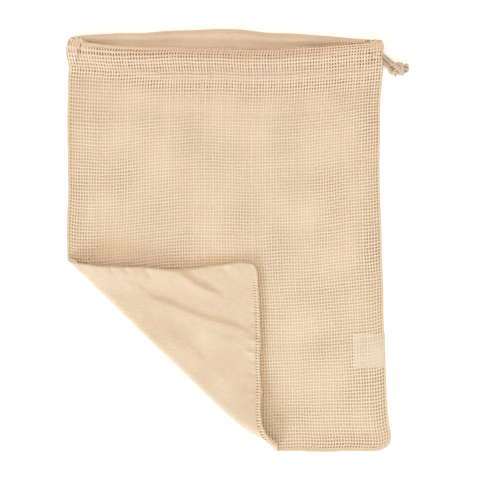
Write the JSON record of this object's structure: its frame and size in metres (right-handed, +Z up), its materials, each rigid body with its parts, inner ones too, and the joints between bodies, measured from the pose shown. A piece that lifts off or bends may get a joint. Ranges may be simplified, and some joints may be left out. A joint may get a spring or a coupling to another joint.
{
  "type": "produce bag",
  "caption": "Cotton drawstring produce bag lying flat, open net front and plain woven back, lower corner turned up over the net.",
  "frame": {"origin": "middle of the bag's footprint on the surface it lies on, without the drawcord and its knot", "axes": "+Y towards the mouth, +X towards the side where the drawcord comes out, +Z up"},
  "size_m": [0.326, 0.4041, 0.0167],
  "materials": {
    "muslin": "plain woven unbleached cotton, matt",
    "net": "open leno net of unbleached cotton thread, matt",
    "cord": "twisted unbleached cotton cord",
    "tape": "plain cotton tape, bare"
  },
  "bodies": {
    "root": {"back_panel": "muslin", "front_net": "net", "drawcord": "cord", "knot": "cord", "label": "tape"}
  },
  "joints": []
}
